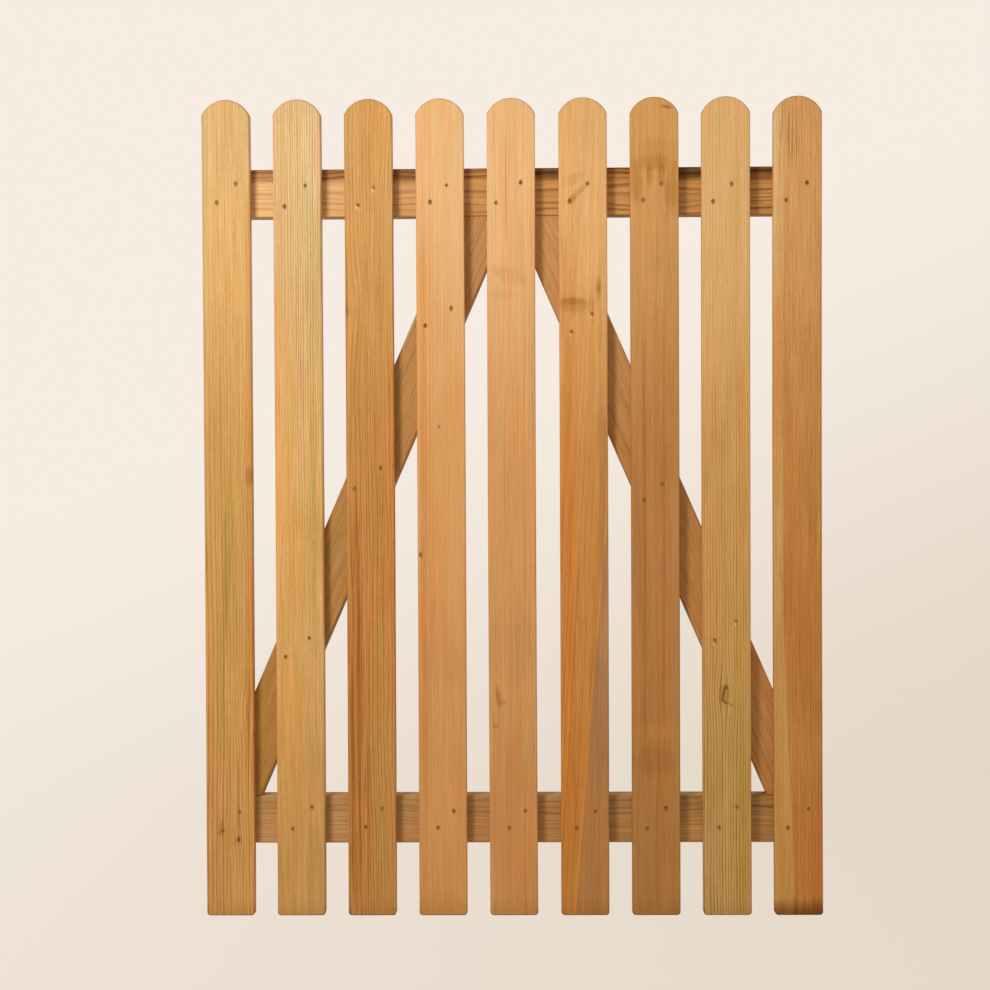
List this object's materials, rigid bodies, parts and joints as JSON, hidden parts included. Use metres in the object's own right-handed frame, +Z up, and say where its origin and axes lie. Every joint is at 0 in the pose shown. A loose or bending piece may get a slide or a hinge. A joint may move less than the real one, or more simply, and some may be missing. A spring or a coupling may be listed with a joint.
{
  "type": "garden gate",
  "caption": "Timber picket gate leaf: round-topped upright pickets nailed to two level rails and two braces that lean together at the top.",
  "frame": {"origin": "bottom centre of the leaf's box: midway across the pickets, midway from the pickets' front faces to the rails' back faces, at the pickets' feet", "axes": "+X to the right seen from the picket side, +Y from the pickets towards the rails and braces, +Z up along the pickets"},
  "size_m": [0.9, 0.055, 1.19],
  "materials": {
    "picket_wood": "planed and rounded softwood, pressure treated, matt",
    "frame_wood": "planed softwood, pressure treated, matt, darker than the pickets",
    "nail_steel": "dull galvanised wire"
  },
  "bodies": {
    "root": {"picket_1": "picket_wood", "picket_2": "picket_wood", "picket_3": "picket_wood", "picket_4": "picket_wood", "picket_5": "picket_wood", "picket_6": "picket_wood", "picket_7": "picket_wood", "picket_8": "picket_wood", "picket_9": "picket_wood", "top_rail": "frame_wood", "bottom_rail": "frame_wood", "left_brace": "frame_wood", "right_brace": "frame_wood", "picket_1_nails": "nail_steel", "picket_2_nails": "nail_steel", "picket_3_nails": "nail_steel", "picket_4_nails": "nail_steel", "picket_5_nails": "nail_steel", "picket_6_nails": "nail_steel", "picket_7_nails": "nail_steel", "picket_8_nails": "nail_steel", "picket_9_nails": "nail_steel"}
  },
  "joints": []
}
